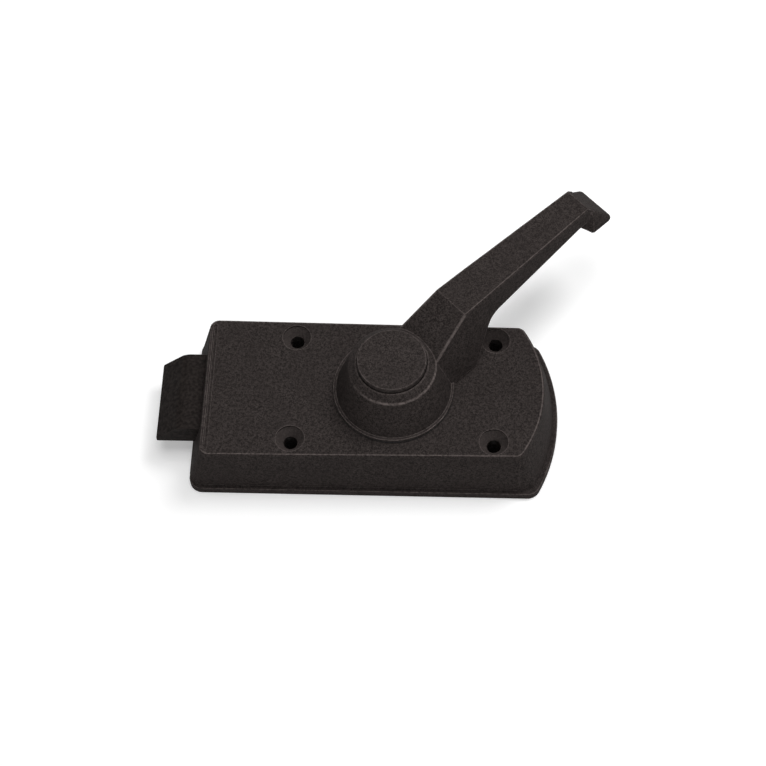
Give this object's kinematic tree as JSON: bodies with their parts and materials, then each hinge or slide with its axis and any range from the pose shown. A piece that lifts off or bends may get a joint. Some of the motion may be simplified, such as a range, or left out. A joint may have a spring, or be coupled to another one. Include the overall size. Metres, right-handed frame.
{
  "type": "slam latch",
  "caption": "Surface-mounted slam latch with a cranked lever and a sprung bolt, bevelled on its front face, in a flat black cast case with countersunk fixings.",
  "frame": {"origin": "under the lever's axis, at the middle of the four fixing holes, on the mounting face of the base plate", "axes": "+X along the case, away from the bolt; +Y across the case, towards the side that the lever rests over; +Z out of the mounting face, along the lever's axis"},
  "size_m": [0.1694, 0.1112, 0.053],
  "materials": {
    "case_black": "fine-textured black powder coat on a zinc casting",
    "plate_black": "fine-textured black powder coat on steel",
    "lever_black": "fine-textured black powder coat on a zinc casting",
    "cap_black": "fine-textured black powder coat",
    "bolt_black": "smooth satin black",
    "zinc_plated_steel": "zinc plated, dull",
    "bright_steel": "turned or drawn, oiled",
    "spring_steel": "drawn wire, oiled",
    "cast_zinc": "as cast, tumbled",
    "bronze": "turned, greased",
    "nylon_black": "moulded",
    "nylon_white": "moulded"
  },
  "bodies": {
    "case": {"housing": "case_black", "base_plate": "plate_black", "base_plate_screws": "zinc_plated_steel", "stop_pins": "bright_steel", "spring_bracket": "zinc_plated_steel", "spring_guide_pins": "bright_steel", "bolt_spring_far": "spring_steel", "bolt_spring_near": "spring_steel", "return_spring": "spring_steel", "return_spring_post": "bright_steel", "wave_washer": "spring_steel", "pivot_bush": "bronze", "thrust_washer": "nylon_black", "bolt_guide": "nylon_white", "guide_rivets": "bright_steel", "tail_rails": "nylon_white"},
    "lever": {"lever_handle": "lever_black", "handle_cap": "cap_black", "handle_screw": "zinc_plated_steel", "spring_washer": "zinc_plated_steel", "plain_washer": "zinc_plated_steel", "spindle": "bright_steel", "spindle_cross_pin": "bright_steel", "follower": "cast_zinc", "drive_pin": "bright_steel", "drive_roller": "bright_steel"},
    "bolt": {"latch_bolt": "bolt_black", "bolt_tail": "zinc_plated_steel", "tail_rivets": "bright_steel"}
  },
  "joints": [
    {"name": "lever_turn", "type": "hinge", "parent": "case", "child": "lever", "pos_m": [0, 0, 0.0245], "axis": [0, 0, 1], "range_deg": [-45, 0], "stiffness_Nm_per_rad": 0.9, "springref_deg": 20.05, "deforming": ["return_spring"]},
    {"name": "bolt_slide", "type": "slide", "parent": "case", "child": "bolt", "axis": [1, 0, 0], "range_m": [0, 0.0135], "stiffness_N_per_m": 700, "springref_m": -0.012, "deforming": ["bolt_spring_far", "bolt_spring_near"]}
  ],
  "couplings": [
    {"joint": "bolt_slide", "follows": "lever_turn", "m_per_rad": -0.017151}
  ]
}
